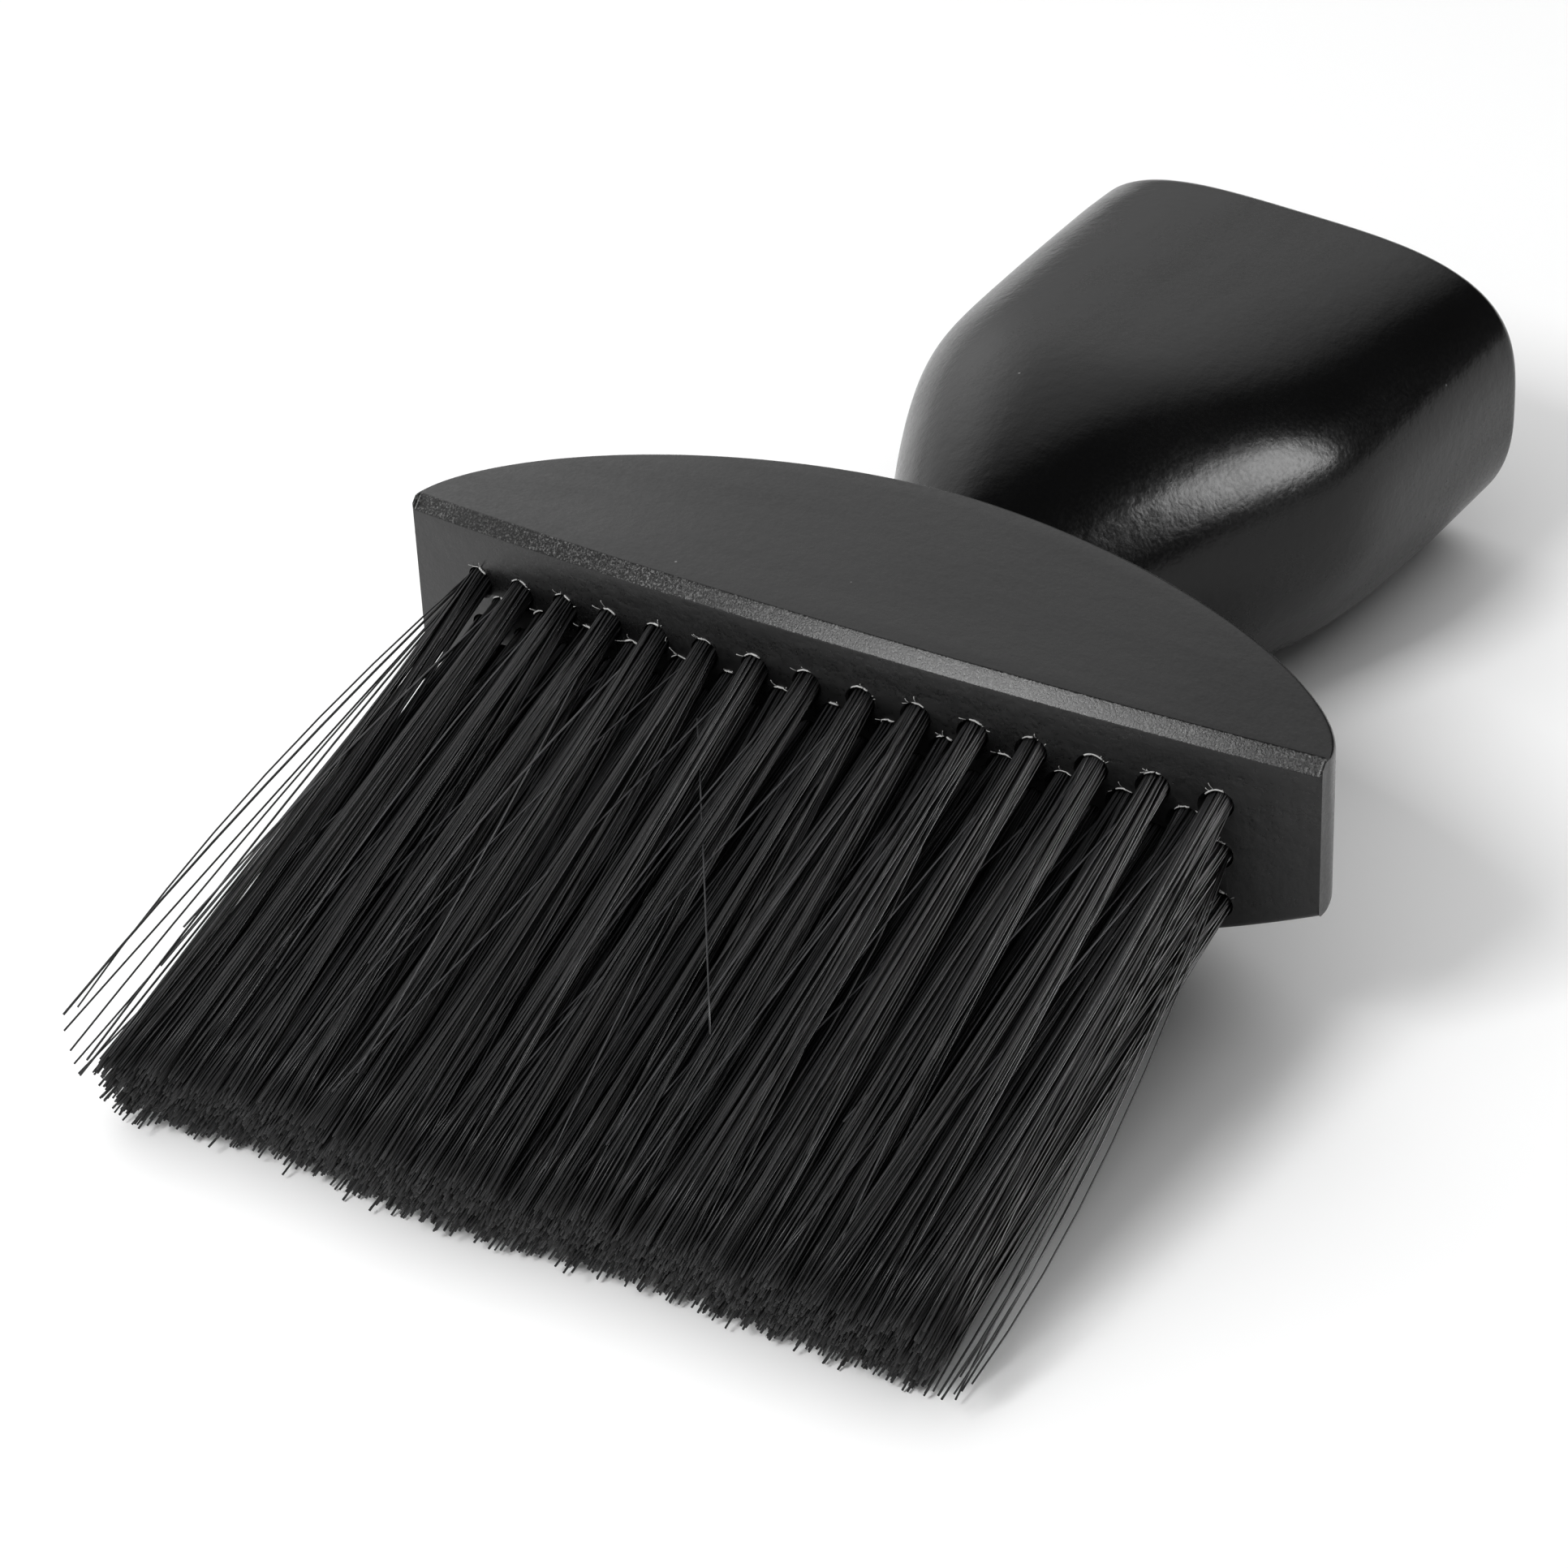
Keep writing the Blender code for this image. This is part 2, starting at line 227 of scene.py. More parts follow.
def rounded_outline(corners):
    """Points round a polygon of (y, z, radius, spans), with its corners rounded and its sides in spans.

    Also the index of the first point of each side.
    """
    outline, starts, arcs = [], [], []
    count = len(corners)
    for k, (y, z, radius, _) in enumerate(corners):
        here = Vector((y, z))
        back = (Vector(corners[k - 1][:2]) - here).normalized()
        ahead = (Vector(corners[(k + 1) % count][:2]) - here).normalized()
        half = back.angle(ahead) / 2
        centre = here + (back + ahead).normalized() * (radius / math.sin(half))
        first = here + back * (radius / math.tan(half)) - centre
        last = here + ahead * (radius / math.tan(half)) - centre
        sweep = first.angle(last)
        arc = []
        for step in range(ARC_STEPS + 1):
            t = step / ARC_STEPS
            mixed = (first * math.sin((1 - t) * sweep) + last * math.sin(t * sweep)) / math.sin(sweep)
            arc.append(centre + mixed)
        arcs.append(arc)
    for k, arc in enumerate(arcs):
        outline += arc
        starts.append(len(outline) - 1)
        goal = arcs[(k + 1) % count][0]
        spans = corners[k][3]
        outline += [arc[-1].lerp(goal, step / spans) for step in range(1, spans)]
    return outline, starts


def head_outline(x, grow=0.0):
    front, back = front_y(x), back_y(x, grow)
    thickness = back - front
    chamfer = min(TOP_CHAMFER, 0.4 * thickness)
    edge = min(EDGE_RADIUS, 0.3 * thickness)
    crease = min(CHAMFER_RADIUS, 0.08 * thickness)
    low = bottom_z(x)
    corners = [
        (front, low, edge, 14),
        (front, top_z(x, front) - chamfer, crease, CHAMFER_SPANS),
        (front + chamfer, top_z(x, front + chamfer), crease, 12),
        (back, top_z(x, back), edge, 8),
        (back, low, edge, 8),
    ]
    return rounded_outline(corners)


def loft(rings, name, edge_span=None):
    """A closed mesh through rings of points. Faces from edge_span's first point to its last get slot 1."""
    shape = bmesh.new()
    made = [[shape.verts.new(point) for point in ring] for ring in rings]
    for lower, upper in zip(made, made[1:]):
        count = len(lower)
        for k in range(count):
            after = (k + 1) % count
            face = shape.faces.new((lower[k], lower[after], upper[after], upper[k]))
            if edge_span and edge_span[0] <= k < edge_span[1]:
                face.material_index = 1
    shape.faces.new(made[0][::-1])
    shape.faces.new(made[-1])
    bmesh.ops.recalc_face_normals(shape, faces=shape.faces)
    mesh = bpy.data.meshes.new(name)
    shape.to_mesh(mesh)
    shape.free()
    return mesh


def head_mesh(name, grow=0.0):
    rings = []
    for k in range(HEAD_STATIONS + 1):
        x = HEAD_HALF_WIDTH * math.sin(math.pi * (k / HEAD_STATIONS - 0.5))
        outline, starts = head_outline(x, grow)
        rings.append(to_world([(x, point.x, point.y) for point in outline]))
    half_arc = ARC_STEPS // 2
    return loft(rings, name, (starts[1] - half_arc, starts[1] + CHAMFER_SPANS + half_arc))


def tuft_places():
    """Yields (row, number, root, tip) for each tuft, row 0 at the top of the face."""
    lowest_row = len(TUFTS_IN_ROW) - 1
    for row, count in enumerate(TUFTS_IN_ROW):
        for number in range(count):
            place = number - (count - 1) / 2
            x = place * PITCH
            root = np.array((x, front_y(x), FIRST_ROW_Z - row * ROW_STEP + ROW_ARCH * arch(x)))
            tip_x = place * TIP_SPREAD + TIP_DRIFT
            tip_y = TIP_Y + TIP_SKEW * tip_x - TIP_LEAN * (lowest_row - row)
            height = TIP_CENTRE_HEIGHT + TIP_STEP * (lowest_row - row)
            yield row, number, root, np.array((tip_x, tip_y, floor_z(tip_y) + height))


def circle(centre, radius, sides):
    """An upright circle of points, in the XZ plane."""
    x, y, z = centre
    turns = [2 * math.pi * k / sides for k in range(sides)]
    return [(x + radius * math.cos(a), y, z + radius * math.sin(a)) for a in turns]


def hole_mesh(root, tip):
    """The cutter for a tuft's hole, in the tuft's direction and countersunk at the face."""
    along = (tip - root) / np.linalg.norm(tip - root)
    mouth = HOLE_RADIUS + COUNTERSINK
    profile = ((-HOLE_DEPTH, HOLE_RADIUS), (-0.2, HOLE_RADIUS), (0.5, mouth), (3.0, mouth))
    rings = [circle(root + along * depth, radius, HOLE_SIDES) for depth, radius in profile]
    return loft([to_world(ring) for ring in rings], "hole")


def still_to_rise(y, length):
    """1 at the neck, about 0 from length on, with a soft end."""
    left = 1 - (y - NECK_Y) / length
    return min(1.0, (left + math.sqrt(left**2 + SHOULDER_SOFTNESS)) / 2)


def rise(y, length, power):
    """0 at the neck, about 1 from length on, with a rounded shoulder between them."""
    return (1 - still_to_rise(y, length) ** power) ** (1 / power)


def body_line(y, length, body, butt):
    """From the value at the shoulder to the value at the butt, in a straight line with a soft start."""
    start = NECK_Y + BODY_START * length
    share = (y - start) / (UNDERSIDE_Y - start)
    return body + (butt - body) * (share + math.sqrt(share**2 + BODY_SOFTNESS)) / 2


def handle_section(y):
    """(half width, top, bottom) of the handle at y."""
    wide = body_line(y, WIDTH_SHOULDER[0], BODY_HALF_WIDTH, BUTT_HALF_WIDTH)
    half_width = NECK_HALF_WIDTH + (wide - NECK_HALF_WIDTH) * rise(y, *WIDTH_SHOULDER)
    high = body_line(y, TOP_SHOULDER[0], BODY_TOP, BUTT_TOP)
    top = NECK_TOP + (high - NECK_TOP) * rise(y, *TOP_SHOULDER)
    left = max(0.0, 1 - (y - NECK_Y) / BELOW_ROUND)
    return half_width, top, floor_z(y) + NECK_BELOW * (1 - math.sqrt(1 - left**2))


def between(steps, y):
    """The value at y, in straight lines between the (y, value) steps."""
    return float(np.interp(y, [at for at, _ in steps], [value for _, value in steps]))


def handle_ring(y, inset):
    """Points round the handle at y, drawn in by inset and sheared towards the askew butt."""
    half_width, top, bottom = handle_section(y)
    half_height, middle = (top - bottom) / 2, (top + bottom) / 2
    skew = BUTT_SKEW * max(0.0, min(1.0, (y - SKEW_FROM) / (SKEW_TO - SKEW_FROM))) ** 2
    above, below = 2 / between(SQUARE_ABOVE, y), 2 / between(SQUARE_BELOW, y)
    points = []
    for k in range(HANDLE_SIDES):
        a = 2 * math.pi * (k + 0.5) / HANDLE_SIDES
        c, s = math.cos(a), math.sin(a)
        power = above if s > 0 else below
        x = math.copysign(abs(c) ** power, c) * (half_width - inset)
        level = abs(s) ** power if s > 0 else -min(1, abs(s) ** power / SECTION_FLAT)
        points.append((x, y - skew * x, middle + level * (half_height - inset)))
    return points


def handle_mesh(name):
    length = HANDLE_END - BUTT_ROUND - NECK_Y
    rings = []
    for k in range(HANDLE_STEPS + 1):
        share = k / HANDLE_STEPS
        rings.append(handle_ring(NECK_Y + length * share**HANDLE_STEP_POWER, 0.0))
    for k in range(1, BUTT_STEPS + 1):
        a = math.pi / 2 * k / BUTT_STEPS
        y = HANDLE_END - BUTT_ROUND * (1 - math.sin(a))
        rings.append(handle_ring(y, BUTT_ROUND * (1 - math.cos(a))))
    return loft([to_world(ring) for ring in rings], name)


def joined(meshes, name):
    shape = bmesh.new()
    for mesh in meshes:
        shape.from_mesh(mesh)
        bpy.data.meshes.remove(mesh)
    made = bpy.data.meshes.new(name)
    shape.to_mesh(made)
    shape.free()
    return made


def cut(mesh, cutter):
    """The mesh with the cutter's mesh cut out of it."""
    target = bpy.data.objects.new("cutting", mesh)
    helper = bpy.data.objects.new("cutter", cutter)
    for used in (target, helper):
        bpy.context.scene.collection.objects.link(used)
    step = target.modifiers.new("Cut", "BOOLEAN")
    step.operation, step.solver, step.object = "DIFFERENCE", "EXACT", helper
    graph = bpy.context.evaluated_depsgraph_get()
    made = bpy.data.meshes.new_from_object(target.evaluated_get(graph))
    for used in (target, helper):
        bpy.data.objects.remove(used, do_unlink=True)
    made.shade_smooth()
    made.set_sharp_from_angle(angle=SHARP_ANGLE)
    return made


# ---------------------------------------------------------------- strands

def cut_wave(x):
    """How far the trimmed ends at x lie from a straight cut."""
    fade = np.interp(x, *zip(*CUT_WAVE_FADE))
    return CUT_WAVE * np.cos((x - CUT_WAVE_PEAK) / CUT_WAVE_LENGTH) * fade


def tuft_strands(rng, root, tip, count):
    """Paths of a tuft's strands, as an array of count x steps x 3."""
    along = (tip - root) / np.linalg.norm(tip - root)
    side = np.array((1.0, 0, 0)) - along * along[0]
    side /= np.linalg.norm(side)
    upward = np.cross(side, along)
    upward *= np.sign(upward[2])
    across_cut = np.array((0, -TIP_LEAN / TIP_STEP, 1.0))

    reach = np.sqrt(rng.random(count))
    turn = rng.random(count) * 2 * math.pi
    disc = np.stack((reach * np.cos(turn), reach * np.sin(turn)), 1)

    clump_at = rng.uniform(-CLUMP_RANGE, CLUMP_RANGE, (CLUMPS_PER_TUFT, 2))
    nearest = np.argmin(((disc[:, None] - clump_at[None]) ** 2).sum(2), 1)
    clump_shift = rng.normal(0, CLUMP_SHIFT, (CLUMPS_PER_TUFT, 2))[nearest]
    clump_bow = rng.normal(0, CLUMP_BOW, (CLUMPS_PER_TUFT, 2))[nearest]

    tip_offset = disc * (TIP_REACH_X, TIP_REACH_Z) + clump_shift
    tip_offset = tip_offset + rng.normal(0, STRAND_SHIFT, (count, 2))
    bow = clump_bow + rng.normal(0, STRAND_BOW, (count, 2))
    wild = rng.random(count) < WILD_SHARE
    tip_offset[wild, 0] += rng.normal(0, WILD_SHIFT, wild.sum()).clip(*WILD_LIMITS)
    bow[wild] += rng.normal(0, WILD_BOW, (wild.sum(), 2))

    length = 1 + rng.normal(0, LENGTH_SPREAD, count)
    long_ones = rng.random(count) < LONG_SHARE
    length[long_ones] += rng.uniform(0, LONG_EXTRA, long_ones.sum())

    end = tip + np.outer(tip_offset[:, 0], (1, TIP_SKEW, 0)) + np.outer(tip_offset[:, 1], across_cut)
    end[:, 1] += cut_wave(end[:, 0])
    start = root + np.outer(disc[:, 0] * ROOT_SPREAD, side) + np.outer(disc[:, 1] * ROOT_SPREAD, upward)

    paths = [start - along * STRAND_DEPTH]
    to_clump = clump_at[nearest] - disc
    for t in STEPS:
        fan = t**FAN_POWER
        middle = root + (tip - root) * t
        spread = (start - root) * (1 - fan) + (end - tip) * fan
        sway = math.sin(math.pi * t)
        drift = bow * sway + to_clump * (GATHER * sway)
        paths.append(middle + spread + np.outer(drift[:, 0], side) + np.outer(drift[:, 1], upward))
    paths = np.stack(paths, 1)
    paths[:, -1] += (paths[:, -1] - paths[:, -2]) * ((length - 1) / (1 - STEPS[-2]))[:, None]
    return paths


def bent_path(points):
    """A path with the strands' number of steps along a smooth curve through three points."""
    first, middle, last = (np.array(point, float) for point in points)
    control = 2 * middle - (first + last) / 2
    return np.stack([
        (1 - t) ** 2 * first + 2 * t * (1 - t) * control + t * t * last
        for t in np.linspace(0, 1, len(STEPS) + 1)
    ])


def tube_mesh(name, paths, radii, kinds=None):
    """One mesh of thin closed tubes along the paths.

    With kinds, each tube gets the material slot that kinds gives, and both its ends CUT_END_SLOT.
    """
    paths = paths.copy()
    paths[:, 1:, 2] = np.maximum(paths[:, 1:, 2], floor_z(paths[:, 1:, 1]) + FLOOR_CLEARANCE)
    count, steps, _ = paths.shape
    axis = paths[:, -1] - paths[:, 1]
    axis /= np.linalg.norm(axis, axis=1)[:, None]
    side = np.cross(axis, (0, 0, 1.0))
    side /= np.linalg.norm(side, axis=1)[:, None]
    upward = np.cross(side, axis)
    turns = np.arange(STRAND_SIDES) * 2 * math.pi / STRAND_SIDES + math.pi / 4
    ring = np.cos(turns)[None, :, None] * side[:, None] + np.sin(turns)[None, :, None] * upward[:, None]
    ring = ring * radii[:, None, None]
    points = to_world((paths[:, :, None] + ring[:, None]).reshape(-1, 3))

    index = np.arange(count * steps * STRAND_SIDES).reshape(count, steps, STRAND_SIDES)
    after = np.roll(index, -1, 2)
    walls = np.stack((index[:, :-1], after[:, :-1], after[:, 1:], index[:, 1:]), -1).reshape(-1, 4)
    caps = np.concatenate((index[:, 0, ::-1], index[:, -1]))
    faces = np.concatenate((walls, caps))[:, ::-1]
    mesh = bpy.data.meshes.new(name)
    mesh.from_pydata(points.tolist(), [], faces.tolist())
    smooth = np.ones(len(faces), bool)
    smooth[len(walls):] = False
    mesh.polygons.foreach_set("use_smooth", smooth)
    if kinds is not None:
        slots = np.full(len(faces), CUT_END_SLOT)
        slots[:len(walls)] = np.repeat(kinds, (steps - 1) * STRAND_SIDES)
        for polygon, slot in zip(mesh.polygons, slots.tolist()):
            polygon.material_index = slot
    mesh.update()
    return mesh


def crossing_paths(rng, root, tip):
    """Strands that lie over their neighbours and slant further along the head."""
    made = []
    for _ in range(CROSSING_PER_COLUMN):
        reach = -rng.uniform(4, 15) if rng.random() < 0.8 else rng.uniform(3, 8)
        share = rng.uniform(0.72, 1.0)
        first = root + (rng.uniform(-0.9, 0.9), 2.0, rng.uniform(0.2, 1.1))
        last = root + (tip - root) * share + (reach * share, 0, rng.uniform(1.2, 2.4))
        last[0] = np.clip(last[0], TIP_DRIFT - 46, TIP_DRIFT + 44)
        middle = (first + last) / 2 + (rng.normal(0, 0.8), 0, rng.uniform(0.5, 1.2))
        made.append(bent_path((first, middle, last)))
    return np.stack(made)


def stray_paths(places):
    """Long loose strands at both ends of the head, and one that has fallen across the others."""
    roots = {(row, number): root for row, number, root, _ in places}
    left_root, right_root = roots[0, 0], roots[2, 14]
    left, right = [], []
    for tip, bulge, lift in LEFT_STRAYS:
        middle = left_root * 0.5 + np.array(tip) * 0.5 + (-bulge, 0, lift)
        left.append(bent_path((left_root + STRAY_START * (-1, 1, 1), middle, tip)))
    for tip, bulge in RIGHT_STRAYS:
        middle = right_root * 0.45 + np.array(tip) * 0.55 + (bulge, 0, RIGHT_STRAY_LIFT)
        right.append(bent_path((right_root + STRAY_START, middle, tip)))
    return np.stack(left), np.stack(right), np.stack([bent_path(FALLEN_STRAND)])


def rim_paths(rng, places):
    """Chipped lacquer along the upper rims of the holes that show, with a few raised wood fibres."""
    tall = HOLE_RADIUS * RIM_STRETCH
    chips, fibres = [], []
    shares = np.linspace(0, 1, len(STEPS) + 1)
    for row, number, root, _ in places:
        if row > 1 and number < TUFTS_IN_ROW[row] - 1:
            continue
        for _ in range(CHIPS_PER_HOLE):
            start = rng.uniform(0.25, 0.6) * math.pi
            turn = start + shares * rng.uniform(0.08, 0.24) * math.pi
            x = root[0] + HOLE_RADIUS * np.cos(turn)
            y = front_y(x) - rng.uniform(0.02, 0.16) * np.sin(shares * math.pi)
            chips.append(np.stack((x, y, root[2] + tall * np.sin(turn)), 1))
        for _ in range(FIBRES_PER_HOLE):
            turn = rng.uniform(0.1, 0.8) * math.pi
            x = root[0] + HOLE_RADIUS * math.cos(turn)
            foot = np.array((x, front_y(x) + 0.1, root[2] + tall * math.sin(turn)))
            away_x = math.cos(turn) + rng.normal(0, 0.4)
            away = np.array((away_x, -0.8, math.sin(turn) + rng.normal(0, 0.4)))
            tip = foot + away * rng.uniform(0.3, 0.75)
            fibres.append(bent_path((foot, (foot + tip) / 2 + (0, -0.12, 0.05), tip)))
    chip_radii = rng.uniform(0.05, 0.12, len(chips))
    fibre_radii = rng.uniform(0.025, 0.05, len(fibres))
    return np.stack(chips + fibres), np.concatenate((chip_radii, fibre_radii))


# ---------------------------------------------------------------- materials

class Finish:
    """A Principled material with helpers to add nodes to it."""

    def __init__(self, name):
        self.material = bpy.data.materials.new(name)
        self.material.use_nodes = True
        self.tree = self.material.node_tree
        self.shader = self.tree.nodes["Principled BSDF"]
        self.place = self.node("ShaderNodeTexCoord").outputs["Object"]

    def node(self, kind, **values):
        made = self.tree.nodes.new(kind)
        for key, value in values.items():
            setattr(made, key, value)
        return made

    def link(self, source, target):
        self.tree.links.new(source, target)

    def set(self, **values):
        for key, value in values.items():
            self.shader.inputs[key.replace("_", " ")].default_value = value

    def stretched(self, scale):
        made = self.node("ShaderNodeMapping")
        made.inputs["Scale"].default_value = scale
        self.link(self.place, made.inputs["Vector"])
        return made.outputs["Vector"]

    def noise(self, scale, detail=2.0, vector=None, roughness=0.5):
        made = self.node("ShaderNodeTexNoise")
        made.inputs["Scale"].default_value = scale
        made.inputs["Detail"].default_value = detail
        made.inputs["Roughness"].default_value = roughness
        self.link(vector or self.place, made.inputs["Vector"])
        return made.outputs["Fac"]

    def remap(self, value, low, high, to_low, to_high):
        made = self.node("ShaderNodeMapRange", clamp=True)
        for key, number in zip(("From Min", "From Max", "To Min", "To Max"), (low, high, to_low, to_high)):
            made.inputs[key].default_value = number
        self.link(value, made.inputs["Value"])
        return made.outputs["Result"]

    def math(self, operation, first, second):
        made = self.node("ShaderNodeMath", operation=operation)
        for socket, value in zip(made.inputs, (first, second)):
            if isinstance(value, (int, float)):
                socket.default_value = value
            else:
                self.link(value, socket)
        return made.outputs["Value"]

    def mix(self, share, first, second):
        made = self.node("ShaderNodeMix", data_type="RGBA")
        self.link(share, made.inputs["Factor"])
        for socket, value in zip((made.inputs[6], made.inputs[7]), (first, second)):
            if isinstance(value, tuple):
                socket.default_value = (*value, 1)
            else:
                self.link(value, socket)
        return made.outputs[2]

    def bump(self, height, distance, strength=1.0, below=None):
        made = self.node("ShaderNodeBump")
        made.inputs["Distance"].default_value = distance
        made.inputs["Strength"].default_value = strength
        self.link(height, made.inputs["Height"])
        if below:
            self.link(below, made.inputs["Normal"])
        return made.outputs["Normal"]

    def specks(self, scale, size, share):
        """1 on sparse small round specks, 0 elsewhere."""
        made = self.node("ShaderNodeTexVoronoi")
        made.inputs["Scale"].default_value = scale
        self.link(self.place, made.inputs["Vector"])
        near = self.remap(made.outputs["Distance"], size * 0.6, size, 1.0, 0.0)
        split = self.node("ShaderNodeSeparateColor")
        self.link(made.outputs["Color"], split.inputs["Color"])
        chosen = self.math("LESS_THAN", split.outputs["Red"], share)
        return self.math("MULTIPLY", near, chosen)


def lacquer_finish(name, grain_scale, roughness, ior):
    """Black satin-gloss lacquer over fine-grained wood, with its grain along the axis of the small scale.

    roughness is the lowest and the highest.
    """
    finish = Finish(name)
    grain = finish.noise(240, 4, finish.stretched(grain_scale), 0.6)
    peel = finish.noise(620, 2)
    fine = finish.noise(2600, 2)
    patches = finish.noise(42, 3)
    colour = finish.mix(patches, (0.0016, 0.0016, 0.0017), (0.003, 0.003, 0.0031))
    dust = finish.specks(330, 0.05, 0.03)
    colour = finish.mix(dust, colour, (0.14, 0.14, 0.14))
    finish.link(colour, finish.shader.inputs["Base Color"])
    streaks = finish.remap(grain, 0.3, 0.7, 0.88, 1.12)
    grit = finish.remap(fine, 0.3, 0.7, 0.85, 1.15)
    uneven = finish.math("MULTIPLY", streaks, grit)
    rough = finish.math("MULTIPLY", finish.remap(patches, 0.3, 0.7, *roughness), uneven)
    finish.link(rough, finish.shader.inputs["Roughness"])
    normal = finish.bump(grain, 0.00006, 0.6)
    normal = finish.bump(peel, 0.00006, 0.6, normal)
    normal = finish.bump(fine, 0.00002, 0.6, normal)
    finish.link(normal, finish.shader.inputs["Normal"])
    finish.set(IOR=ior)
    return finish.material


def speckled_edge_finish():
    """The chamfer: rough and finely speckled, with pale specks in random patches."""
    finish = Finish("black_lacquer_edge")
    speckle = finish.noise(4200, 3, roughness=0.7)
    patches = finish.noise(90, 3)
    speck_patches = finish.remap(patches, 0.3, 0.7, 0.3, 1)
    # Pale specks in the base colour, only within random patches.
    bright = finish.math("MULTIPLY", finish.remap(speckle, 0.52, 0.68, 0, 1), speck_patches)
    colour = finish.mix(bright, (0.004, 0.004, 0.004), (0.17, 0.17, 0.168))
    finish.link(colour, finish.shader.inputs["Base Color"])
    finish.link(finish.remap(speckle, 0.3, 0.7, 0.22, 0.4), finish.shader.inputs["Roughness"])
    finish.link(finish.bump(speckle, 0.00004, 0.9), finish.shader.inputs["Normal"])
    return finish.material


def bristle_finish():
    """Black synthetic filament, each strand slightly different."""
    finish = Finish("black_bristle_strand")
    each = finish.node("ShaderNodeNewGeometry").outputs["Random Per Island"]
    streak = finish.noise(900, 2)
    shade = finish.math("MULTIPLY", each, finish.remap(streak, 0.3, 0.7, 0.6, 1.0))
    colour = finish.mix(shade, (0.0012, 0.0012, 0.0013), (0.026, 0.026, 0.027))
    finish.link(colour, finish.shader.inputs["Base Color"])
    finish.link(finish.remap(each, 0, 1, 0.55, 0.24), finish.shader.inputs["Roughness"])
    finish.set(IOR=BRISTLE_IOR)
    return finish.material


def painted_light_bristle_finish():
    """Strands that lie on top of the others, painted a lighter colour for the full light they are in."""
    finish = Finish("black_bristle_upper_painted_light")
    streak = finish.noise(500, 2)
    # Painted light: these strands are lighter in colour than the plain ones, for the full light they
    # catch.
    colour = finish.mix(streak, (0.02, 0.02, 0.021), (0.05, 0.05, 0.052))
    finish.link(colour, finish.shader.inputs["Base Color"])
    finish.link(finish.remap(streak, 0.3, 0.7, 0.3, 0.45), finish.shader.inputs["Roughness"])
    finish.set(IOR=BRISTLE_IOR)
    return finish.material


def cut_end_finish():
    """The trimmed ends of the strands, with a brighter colour painted on some of them for the light they
    catch.
    """
    finish = Finish("black_bristle_cut_end")
    each = finish.node("ShaderNodeNewGeometry").outputs["Random Per Island"]
    grit = finish.noise(4000, 2)
    # Painted glints: random ends get a brighter colour for the light they catch.
    bright = finish.math("POWER", each, 2.0)
    shade = finish.math("MULTIPLY", bright, finish.remap(grit, 0.3, 0.7, 0.4, 1.0))
    colour = finish.mix(shade, (0.002, 0.002, 0.0021), (0.07, 0.07, 0.071))
    finish.link(colour, finish.shader.inputs["Base Color"])
    finish.link(finish.remap(grit, 0.3, 0.7, 0.45, 0.7), finish.shader.inputs["Roughness"])
    finish.set(IOR=CUT_END_IOR)
    return finish.material


def raw_rim_finish():
    """Wood fibres and chipped lacquer round the drilled holes."""
    finish = Finish("raw_hole_rim")
    tone = finish.noise(1500, 3)
    colour = finish.mix(tone, (0.15, 0.15, 0.15), (0.7, 0.7, 0.69))
    finish.link(colour, finish.shader.inputs["Base Color"])
    finish.link(finish.remap(tone, 0.3, 0.7, 0.45, 0.75), finish.shader.inputs["Roughness"])
    finish.link(finish.bump(tone, 0.00003, 0.6), finish.shader.inputs["Normal"])
    return finish.material


def beech_finish():
    """Bare beech for the hidden dowel, with its grain along it."""
    finish = Finish("beech_grain")
    rings = finish.noise(700, 5, finish.stretched((1, 0.05, 1)), 0.65)
    flecks = finish.noise(2500, 2, finish.stretched((1, 0.15, 1)))
    colour = finish.mix(finish.remap(rings, 0.35, 0.65, 0, 1), (0.62, 0.43, 0.25), (0.48, 0.31, 0.17))
    colour = finish.mix(finish.remap(flecks, 0.6, 0.75, 0, 1), colour, (0.36, 0.22, 0.12))
    finish.link(colour, finish.shader.inputs["Base Color"])
    finish.link(finish.remap(rings, 0.3, 0.7, 0.5, 0.7), finish.shader.inputs["Roughness"])
    finish.link(finish.bump(rings, 0.00008, 0.5), finish.shader.inputs["Normal"])
    return finish.material


def steel_finish():
    """Drawn flat wire for the hidden anchors."""
    finish = Finish("drawn_steel")
    lines = finish.noise(3200, 3, finish.stretched((0.04, 1, 1)), 0.6)
    colour = finish.mix(lines, (0.42, 0.42, 0.43), (0.62, 0.62, 0.63))
    finish.link(colour, finish.shader.inputs["Base Color"])
    finish.link(finish.remap(lines, 0.3, 0.7, 0.25, 0.45), finish.shader.inputs["Roughness"])
    finish.link(finish.bump(lines, 0.00001, 0.5), finish.shader.inputs["Normal"])
    finish.set(Metallic=1.0)
    return finish.material


# ---------------------------------------------------------------- the pieces

def build_head(places):
    holes = joined([hole_mesh(root, tip) for _, _, root, tip in places], "holes")
    mesh = cut(head_mesh("head_fine"), holes)
    lacquer = lacquer_finish("black_lacquer_head", (0.12, 1, 1), (0.27, 0.36), HEAD_IOR)
    piece_from("head_block_fine", mesh, (lacquer, speckled_edge_finish()), ["head_block"])


def build_rims(places):
    mesh = tube_mesh("hole_rims", *rim_paths(np.random.default_rng(RIM_SEED), places))
    piece_from("hole_rims", mesh, (raw_rim_finish(),), ["head_block"])


def build_handle():
    mesh = cut(handle_mesh("handle_fine"), head_mesh("seat", HEAD_VISUAL_GAP))
    lacquer = lacquer_finish("black_lacquer_handle", (1, 0.12, 1), (0.2, 0.27), HANDLE_IOR)
    piece_from("handle_fine", mesh, (lacquer,), ["handle"])


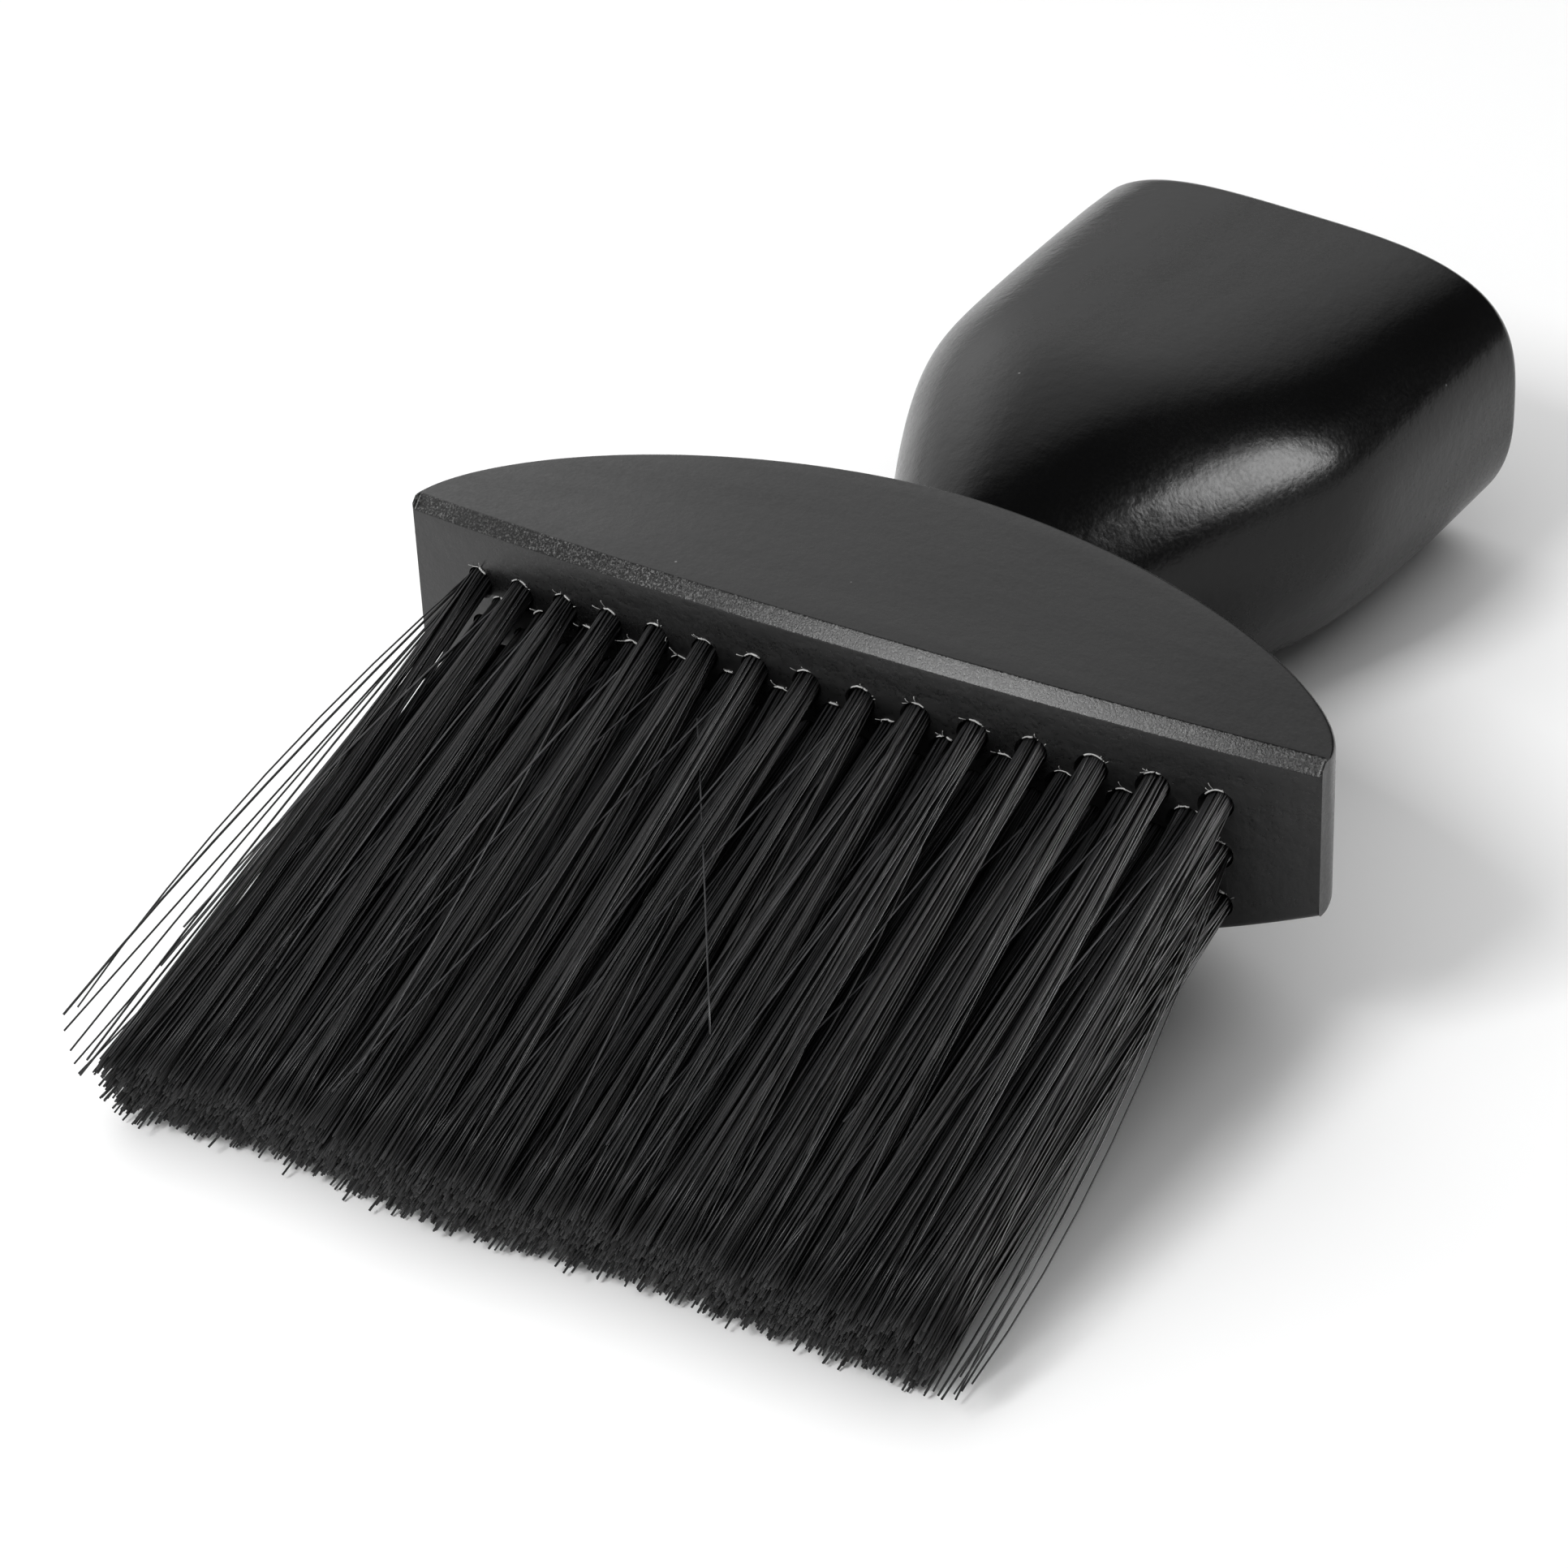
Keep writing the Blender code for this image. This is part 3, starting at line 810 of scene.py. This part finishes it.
def build_tufts(places):
    finishes = (bristle_finish(), painted_light_bristle_finish(), cut_end_finish())
    left, right, fallen = stray_paths(places)
    extras = {"tufts_long_01": left, "tufts_long_15": right}
    for stagger, word in ((0, "long"), (1, "short")):
        for number in range(TUFTS_IN_ROW[stagger]):
            node = f"tufts_{word}_{number + 1:02d}"
            rng = np.random.default_rng(1000 * stagger + number)
            column = [place for place in places if place[0] % 2 == stagger and place[1] == number]
            common = [tuft_strands(rng, root, tip, STRANDS_IN_ROW[row]) for row, _, root, tip in column]
            if node in extras:
                common.append(extras[node])
            painted_lit_paths = crossing_paths(rng, *column[0][2:])
            if node == FALLEN_ON:
                painted_lit_paths = np.concatenate((painted_lit_paths, fallen))
            paths = np.concatenate((*common, painted_lit_paths))
            kinds = np.zeros(len(paths), int)
            # The strands on top take the slot with painted light.
            kinds[-len(painted_lit_paths):] = PAINTED_LIGHT_SLOT
            radii = STRAND_RADIUS * rng.normal(1, 0.09, len(paths)).clip(0.75, 1.25)
            mesh = tube_mesh(f"{node}_strands", paths, radii, kinds)
            piece_from(f"{node}_strands", mesh, finishes, [node])


def finish_hidden_nodes():
    beech, steel = beech_finish(), steel_finish()
    for name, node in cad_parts.items():
        if name == "neck_dowel":
            node.material_slots[0].material = beech
        elif name.startswith("anchor_"):
            node.material_slots[0].material = steel


# ---------------------------------------------------------------- floor, light and camera

def build_floor():
    mesh = bpy.data.meshes.new("floor")
    half = FLOOR_HALF_WIDTH
    corners = [(-half, -half, 0), (half, -half, 0), (half, half, 0), (-half, half, 0)]
    mesh.from_pydata(corners, [], [(0, 1, 2, 3)])
    floor = bpy.data.objects.new("floor", mesh)
    bpy.context.scene.collection.objects.link(floor)
    floor.location.z = FLOOR_DROP
    finish = Finish("pale_floor")
    tone = finish.noise(6, 3)
    colour = finish.mix(tone, (0.93, 0.93, 0.93), (0.95, 0.95, 0.95))
    finish.link(colour, finish.shader.inputs["Base Color"])
    finish.set(Roughness=0.8, Specular_IOR_Level=0.2)
    mesh.materials.append(finish.material)


def direction_mask(tree, direction, towards, full, none):
    """1 within the angle full of a direction, 0 beyond the angle none, in degrees."""
    dot = tree.nodes.new("ShaderNodeVectorMath")
    dot.operation = "DOT_PRODUCT"
    dot.inputs[1].default_value = Vector(towards).normalized()
    tree.links.new(direction, dot.inputs[0])
    ramp = tree.nodes.new("ShaderNodeMapRange")
    ramp.interpolation_type = "SMOOTHSTEP"
    ramp.inputs["From Min"].default_value = math.cos(math.radians(none))
    ramp.inputs["From Max"].default_value = math.cos(math.radians(full))
    tree.links.new(dot.outputs["Value"], ramp.inputs["Value"])
    return ramp.outputs["Result"]


def build_world():
    """A dim studio with soft patches of light, seen as plain white by the camera itself."""
    world = bpy.data.worlds.new("studio")
    bpy.context.scene.world = world
    world.use_nodes = True
    tree = world.node_tree
    tree.nodes.clear()
    direction = tree.nodes.new("ShaderNodeTexCoord").outputs["Generated"]
    value = None
    for towards, full, none, amount in WORLD_PATCHES:
        mask = direction_mask(tree, direction, towards, full, none)
        total = tree.nodes.new("ShaderNodeMath")
        total.operation = "MULTIPLY_ADD"
        tree.links.new(mask, total.inputs[0])
        total.inputs[1].default_value = amount
        if value:
            tree.links.new(value, total.inputs[2])
        else:
            total.inputs[2].default_value = WORLD_BASE
        value = total.outputs["Value"]
    light = tree.nodes.new("ShaderNodeBackground")
    tree.links.new(value, light.inputs["Strength"])
    plain = tree.nodes.new("ShaderNodeBackground")
    plain.inputs["Strength"].default_value = 1.0
    chosen = tree.nodes.new("ShaderNodeMixShader")
    tree.links.new(tree.nodes.new("ShaderNodeLightPath").outputs["Is Camera Ray"], chosen.inputs["Fac"])
    tree.links.new(light.outputs["Background"], chosen.inputs[1])
    tree.links.new(plain.outputs["Background"], chosen.inputs[2])
    out = tree.nodes.new("ShaderNodeOutputWorld")
    tree.links.new(chosen.outputs["Shader"], out.inputs["Surface"])


def build_softboxes():
    middle = Vector(to_world([LIGHTS_TARGET])[0])
    for name, direction, distance, width, height, power, lighting, mirrored in SOFTBOXES:
        data = bpy.data.lights.new(name, "AREA")
        data.shape = "RECTANGLE"
        data.size, data.size_y, data.energy = width, height, power
        light = bpy.data.objects.new(name, data)
        away = Vector(direction).normalized()
        light.location = middle + away * distance
        light.rotation_euler = away.to_track_quat("Z", "Y").to_euler()
        light.visible_camera = False
        light.visible_diffuse = lighting
        light.visible_glossy = mirrored
        bpy.context.scene.collection.objects.link(light)


def build_camera():
    angles = (CAMERA_AZIMUTH, CAMERA_ELEVATION, CAMERA_ROLL)
    azimuth, elevation, roll = (math.radians(angle) for angle in angles)
    reach = math.cos(elevation)
    back = Vector((math.sin(azimuth) * reach, -math.cos(azimuth) * reach, math.sin(elevation)))
    level = Vector((math.cos(azimuth), math.sin(azimuth), 0))
    upright = back.cross(level)
    right = level * math.cos(roll) + upright * math.sin(roll)
    up = back.cross(right)
    place = Vector(to_world([CAMERA_TARGET])[0]) + back * CAMERA_DISTANCE
    data = bpy.data.cameras.new("camera")
    data.lens, data.sensor_width = CAMERA_LENS, CAMERA_SENSOR
    data.clip_start = CAMERA_CLIP
    camera = bpy.data.objects.new("camera", data)
    turn = Matrix((right, up, back)).transposed()
    camera.matrix_world = Matrix.Translation(place) @ turn.to_4x4()
    bpy.context.scene.collection.objects.link(camera)
    bpy.context.scene.camera = camera


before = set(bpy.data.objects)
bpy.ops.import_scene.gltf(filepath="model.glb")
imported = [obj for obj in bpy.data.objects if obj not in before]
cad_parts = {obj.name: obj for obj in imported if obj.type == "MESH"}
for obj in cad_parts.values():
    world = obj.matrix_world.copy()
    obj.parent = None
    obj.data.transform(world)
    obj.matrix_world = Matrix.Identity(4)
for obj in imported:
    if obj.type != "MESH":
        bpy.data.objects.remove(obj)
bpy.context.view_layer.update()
BRUSH = brush_matrix()

tufts = list(tuft_places())
build_head(tufts)
build_rims(tufts)
build_handle()
build_tufts(tufts)
finish_hidden_nodes()
build_floor()
build_world()
build_softboxes()
build_camera()
bpy.context.scene.view_settings.view_transform = "Standard"

bpy.context.view_layer.update()
